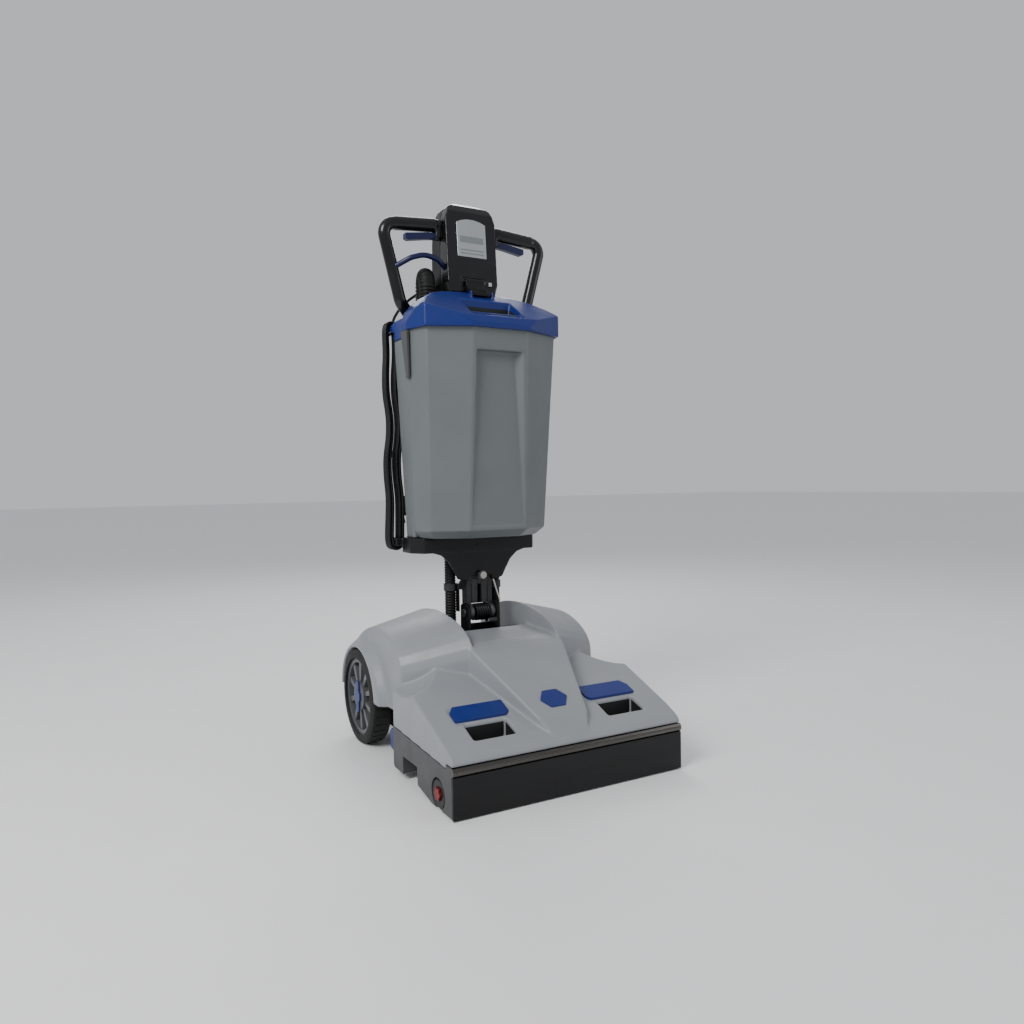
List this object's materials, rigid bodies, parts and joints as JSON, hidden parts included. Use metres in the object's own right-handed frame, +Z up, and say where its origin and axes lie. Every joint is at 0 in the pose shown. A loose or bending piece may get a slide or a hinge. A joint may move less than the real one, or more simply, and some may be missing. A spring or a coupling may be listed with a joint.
{
  "type": "wet dry floor scrubber",
  "caption": "Upright wet and dry floor scrubber: low wheeled brush base with a grey hood, tilting neck, tapered tank with blue lid, control head with loop handles and a corded mains lead.",
  "frame": {"origin": "middle of the footprint, on the floor", "axes": "+X the machine's left-to-right width seen from the front, -Y the bumper's side, +Z up"},
  "size_m": [0.523, 0.6485, 1.252],
  "materials": {
    "hood_grey": "satin moulded",
    "base_grey": "satin moulded",
    "tank_grey": "satin moulded",
    "blue": "satin moulded",
    "black_plastic": "fine texture",
    "black_rubber": "matt",
    "tyre_rubber": "matt",
    "rim_grey": "satin",
    "bright_steel": "brushed",
    "black_steel": "powder coated",
    "red": "satin",
    "bristle": "fibres",
    "motor": "painted",
    "silver_label": "brushed",
    "gloss_black": "gloss",
    "white": "satin"
  },
  "bodies": {
    "chassis": {"hood": "hood_grey", "badge": "blue", "chassis_tub": "base_grey", "bumper_flap": "black_rubber", "bumper_strip": "bright_steel", "rear_squeegee": "black_rubber", "brush_cap": "black_plastic", "brush_motor": "motor", "drive_belt": "black_rubber", "suction_motor": "motor", "wheel_axle": "bright_steel", "neck_cheeks": "black_steel", "tilt_shaft": "bright_steel", "tilt_spring": "black_steel", "hoses_lower": "black_rubber"},
    "catch_left": {"hood_catch_left": "blue"},
    "catch_right": {"hood_catch_right": "blue"},
    "lever_left": {"side_lever_left": "blue"},
    "lever_right": {"side_lever_right": "blue"},
    "knob": {"brush_knob": "red"},
    "brush_front": {"brush_front_core": "black_plastic", "brush_front_bristles": "bristle"},
    "brush_rear": {"brush_rear_core": "black_plastic", "brush_rear_bristles": "bristle"},
    "motor_rotor": {"drive_pulley": "black_plastic"},
    "wheel_left": {"wheel_rim_left": "rim_grey", "wheel_tyre_left": "tyre_rubber", "hub_cap_left": "blue"},
    "wheel_right": {"wheel_rim_right": "rim_grey", "wheel_tyre_right": "tyre_rubber", "hub_cap_right": "blue"},
    "neck": {"neck_link": "black_steel", "lean_bolt": "bright_steel", "lock_rod": "bright_steel", "hoses_upper": "black_rubber"},
    "mast": {"tray_yoke": "black_plastic", "spine": "black_steel", "solution_tank": "tank_grey", "solution_lid": "blue", "head_front": "black_plastic", "head_rear": "black_plastic", "label_plate": "silver_label", "status_window": "gloss_black", "handle_left": "black_plastic", "handle_right": "black_plastic", "hose_arc": "blue", "suction_hose": "black_rubber", "suction_cuffs": "black_rubber", "strain_relief": "black_rubber", "mains_cord": "black_rubber", "cord_hank": "black_rubber", "plug": "black_rubber"},
    "trigger_left": {"trigger_left": "blue"},
    "trigger_right": {"trigger_right": "blue"},
    "button": {"power_button": "black_plastic"},
    "tank": {"recovery_tank": "tank_grey", "tank_clips": "base_grey"},
    "lid": {"tank_lid": "blue", "float_cap": "white"},
    "latch": {"lid_latch": "black_plastic"}
  },
  "joints": [
    {"name": "neck_tilt", "type": "hinge", "parent": "chassis", "child": "neck", "pos_m": [0, 0.075, 0.3], "axis": [-1, 0, 0], "range_deg": [0, 45], "deforming": ["hoses_lower"]},
    {"name": "mast_lean", "type": "hinge", "parent": "neck", "child": "mast", "pos_m": [0, 0.093, 0.387], "axis": [0, 1, 0], "range_deg": [-12, 12], "deforming": ["hoses_upper"]},
    {"name": "tank_out", "type": "slide", "parent": "mast", "child": "tank", "axis": [0, -1, 0], "range_m": [0, 0.2]},
    {"name": "lid_lift", "type": "slide", "parent": "tank", "child": "lid", "axis": [0, 0, 1], "range_m": [0, 0.12]},
    {"name": "latch_open", "type": "hinge", "parent": "lid", "child": "latch", "pos_m": [0, 0.042, 1.0245], "axis": [1, 0, 0], "range_deg": [0, 60]},
    {"name": "wheel_left_spin", "type": "hinge", "parent": "chassis", "child": "wheel_left", "pos_m": [0, 0.2055, 0.108], "axis": [1, 0, 0], "continuous": true},
    {"name": "wheel_right_spin", "type": "hinge", "parent": "chassis", "child": "wheel_right", "pos_m": [0, 0.2055, 0.108], "axis": [1, 0, 0], "continuous": true},
    {"name": "brush_front_spin", "type": "hinge", "parent": "chassis", "child": "brush_front", "pos_m": [0, -0.257, 0.031], "axis": [1, 0, 0], "continuous": true},
    {"name": "brush_rear_spin", "type": "hinge", "parent": "chassis", "child": "brush_rear", "pos_m": [0, -0.191, 0.031], "axis": [1, 0, 0], "continuous": true},
    {"name": "motor_spin", "type": "hinge", "parent": "chassis", "child": "motor_rotor", "pos_m": [0, -0.15, 0.13], "axis": [1, 0, 0], "continuous": true},
    {"name": "brush_knob_turn", "type": "hinge", "parent": "chassis", "child": "knob", "pos_m": [0, -0.257, 0.031], "axis": [1, 0, 0], "range_deg": [0, 90]},
    {"name": "side_lever_left_turn", "type": "hinge", "parent": "chassis", "child": "lever_left", "pos_m": [-0.2495, -0.022, 0.082], "axis": [1, 0, 0], "range_deg": [0, 40]},
    {"name": "side_lever_right_turn", "type": "hinge", "parent": "chassis", "child": "lever_right", "pos_m": [0.2495, -0.022, 0.082], "axis": [1, 0, 0], "range_deg": [0, 40]},
    {"name": "hood_catch_left_lift", "type": "hinge", "parent": "chassis", "child": "catch_left", "pos_m": [-0.151, -0.19, 0.164], "axis": [-1, 0, 0], "range_deg": [0, 25]},
    {"name": "hood_catch_right_lift", "type": "hinge", "parent": "chassis", "child": "catch_right", "pos_m": [0.151, -0.19, 0.164], "axis": [-1, 0, 0], "range_deg": [0, 25]},
    {"name": "trigger_left_pull", "type": "hinge", "parent": "mast", "child": "trigger_left", "pos_m": [-0.072, 0.118, 1.166], "axis": [0, 1, 0], "range_deg": [0, 3], "stiffness_Nm_per_rad": 0.5, "springref_deg": -11.46},
    {"name": "trigger_right_pull", "type": "hinge", "parent": "mast", "child": "trigger_right", "pos_m": [0.072, 0.118, 1.166], "axis": [0, -1, 0], "range_deg": [0, 3], "stiffness_Nm_per_rad": 0.5, "springref_deg": -11.46},
    {"name": "power_button_press", "type": "slide", "parent": "mast", "child": "button", "axis": [0, -1, 0], "range_m": [0, 0.002], "stiffness_N_per_m": 300, "springref_m": -0.001}
  ],
  "couplings": [
    {"joint": "brush_rear_spin", "follows": "brush_front_spin", "ratio": 1},
    {"joint": "motor_spin", "follows": "brush_front_spin", "ratio": 1}
  ]
}
